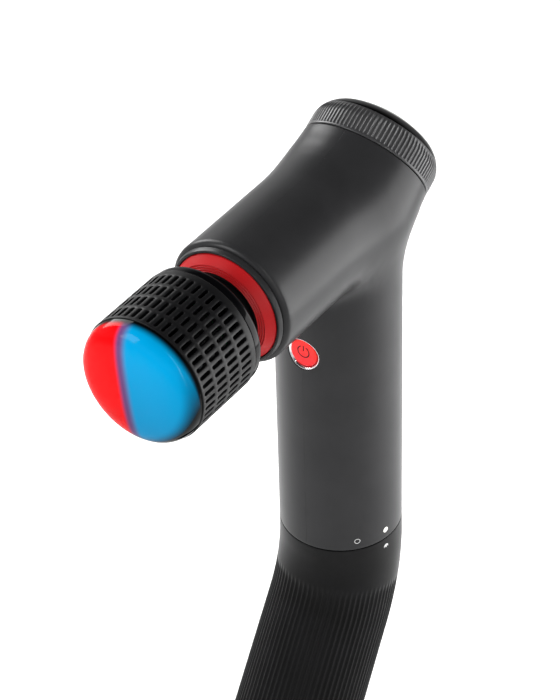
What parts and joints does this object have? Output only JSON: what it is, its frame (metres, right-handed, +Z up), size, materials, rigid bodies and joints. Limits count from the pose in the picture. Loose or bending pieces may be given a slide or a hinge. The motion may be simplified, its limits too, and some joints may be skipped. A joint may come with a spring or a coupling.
{
  "type": "percussion massager",
  "caption": "Pistol-shaped cordless percussion massager with a hot and cold round head, slotted vent sleeve, rear dial and a twist-off battery grip that stands on its foot.",
  "frame": {"origin": "centre of the foot pad's underside, on the table", "axes": "+Z up, -Y towards the massage head along the barrel, +X towards the user's left when the head points away"},
  "size_m": [0.0508, 0.1523, 0.271],
  "materials": {
    "body_plastic": "satin dark grey moulding",
    "black_plastic": "satin black moulding",
    "gloss_black": "polished black",
    "ridged_black": "matte black with fine ribs",
    "red_plastic": "satin red moulding",
    "face_metal": "glossy enamel, red on one side and blue on the other",
    "cast_alloy": "bead-blasted die casting",
    "sink_alloy": "plain extruded",
    "steel": "ground steel",
    "winding_copper": "enamelled copper wire",
    "contact_metal": "gold-plated contact",
    "board": "green solder mask",
    "pale_plastic": "natural nylon",
    "ceramic": "white ceramic",
    "cell_wrap": "blue shrink wrap over a cell",
    "rubber": "black rubber",
    "magnet": "dark magnet"
  },
  "bodies": {
    "main_body": {"housing_left": "body_plastic", "housing_right": "body_plastic", "nose_bezel": "black_plastic", "nose_ring": "red_plastic", "wiper_seal": "rubber", "drive_frame": "cast_alloy", "plunger_bushing": "pale_plastic", "motor_bearing": "steel", "motor_base": "cast_alloy", "motor_screw_1": "steel", "motor_screw_2": "steel", "stator_core": "steel", "stator_windings": "winding_copper", "rear_carrier": "black_plastic", "rear_screw_1": "steel", "rear_screw_2": "steel", "display_board": "board", "display_lens": "gloss_black", "button_bezel": "steel", "power_switch": "black_plastic", "switch_board": "board", "main_board": "board", "handle_collar": "cast_alloy", "contact_block": "black_plastic", "contact_pin_1": "contact_metal", "contact_pin_2": "contact_metal"},
    "plunger": {"plunger": "black_plastic", "wrist_pin": "steel", "socket_contacts": "contact_metal"},
    "rod": {"connecting_rod": "cast_alloy", "rod_bearing": "steel"},
    "crank": {"crank": "steel", "crank_shaft": "steel", "rotor_bell": "steel", "rotor_magnets": "magnet"},
    "head": {"head_face": "face_metal", "peltier_module": "ceramic", "heat_sink": "sink_alloy", "fan_frame": "black_plastic", "vent_sleeve": "black_plastic", "head_rear_cover": "gloss_black", "head_board": "board", "head_stem": "steel", "stem_o_ring": "rubber"},
    "fan": {"fan_rotor": "black_plastic"},
    "dial": {"dial_ring": "body_plastic"},
    "button": {"power_button": "red_plastic"},
    "battery_grip": {"grip_shell": "ridged_black", "bayonet_spigot": "black_plastic", "contact_button": "contact_metal", "contact_ring": "contact_metal", "cell_1": "cell_wrap", "cell_2": "cell_wrap", "cell_3": "cell_wrap", "cell_holder_upper": "pale_plastic", "cell_holder_lower": "pale_plastic", "battery_board": "board", "base_cap": "body_plastic", "foot_pad": "rubber", "charge_port": "steel"}
  },
  "joints": [
    {"name": "percussion_stroke", "type": "slide", "parent": "main_body", "child": "plunger", "axis": [0, -1, 0], "range_m": [-0.005, 0.005]},
    {"name": "rod_swing", "type": "hinge", "parent": "plunger", "child": "rod", "pos_m": [0, 0.02098, 0.2394], "axis": [0, 0, 1], "range_deg": [0, 20.5]},
    {"name": "motor_spin", "type": "hinge", "parent": "main_body", "child": "crank", "pos_m": [0, 0.04853, 0.2257], "axis": [0, 0, 1], "continuous": true},
    {"name": "head_pull_off", "type": "slide", "parent": "plunger", "child": "head", "axis": [0, -1, 0], "range_m": [0, 0.03]},
    {"name": "fan_spin", "type": "hinge", "parent": "head", "child": "fan", "pos_m": [0, -0.04647, 0.2394], "axis": [0, -1, 0], "continuous": true},
    {"name": "dial_turn", "type": "hinge", "parent": "main_body", "child": "dial", "pos_m": [0, 0.06578, 0.2472], "axis": [0, 0.8704, 0.4924], "continuous": true},
    {"name": "power_press", "type": "slide", "parent": "main_body", "child": "button", "axis": [0, 1, 0], "range_m": [0, 0.0006], "stiffness_N_per_m": 2500, "springref_m": -0.0003},
    {"name": "grip_twist", "type": "hinge", "parent": "main_body", "child": "battery_grip", "pos_m": [0, 0.04853, 0.105], "axis": [0, 0, 1], "range_deg": [-30, 0]}
  ]
}
